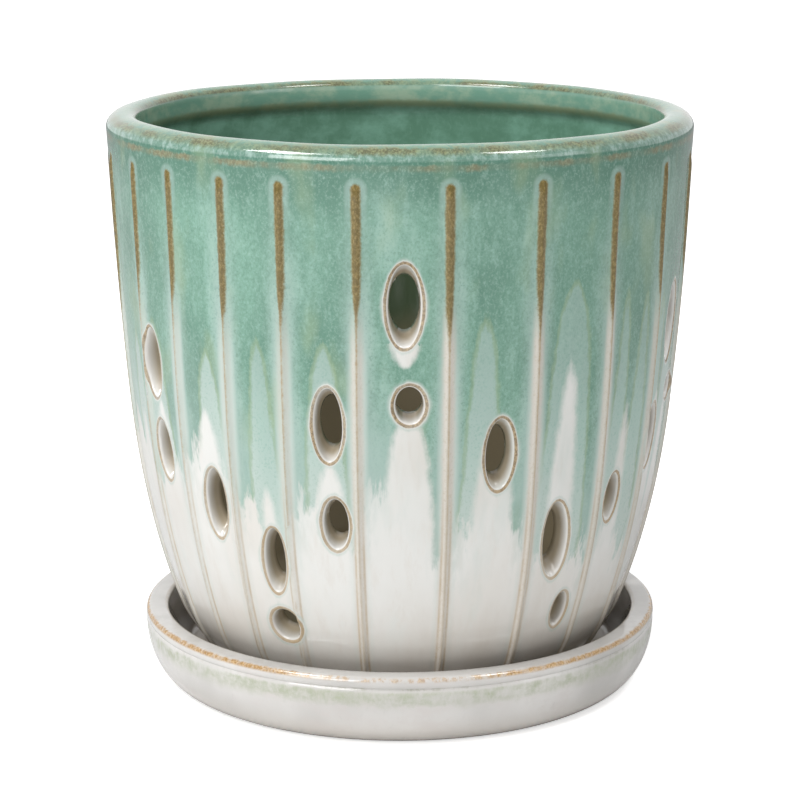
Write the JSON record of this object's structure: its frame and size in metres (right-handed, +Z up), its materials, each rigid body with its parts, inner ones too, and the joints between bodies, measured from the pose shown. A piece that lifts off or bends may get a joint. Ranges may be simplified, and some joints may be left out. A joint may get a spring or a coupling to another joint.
{
  "type": "orchid pot",
  "caption": "Round glazed ceramic orchid pot with oval air slots and raised ridges, standing loose in its own saucer.",
  "frame": {"origin": "centre of the underside of the saucer, on the surface that the saucer stands on", "axes": "+Z up along the pot's axis, -Y towards the side that the picture shows, +X to the right of that side"},
  "size_m": [0.204, 0.2034, 0.2023],
  "materials": {
    "white_glaze": "glossy off-white glaze with a tan line at the rim",
    "green_glaze": "glossy sea-green glaze that runs down to off-white"
  },
  "bodies": {
    "saucer": {"saucer": "white_glaze"},
    "pot": {"pot": "green_glaze"}
  },
  "joints": [
    {"name": "pot_lift", "type": "slide", "parent": "saucer", "child": "pot", "axis": [0, 0, 1], "range_m": [0, 0.04]}
  ]
}
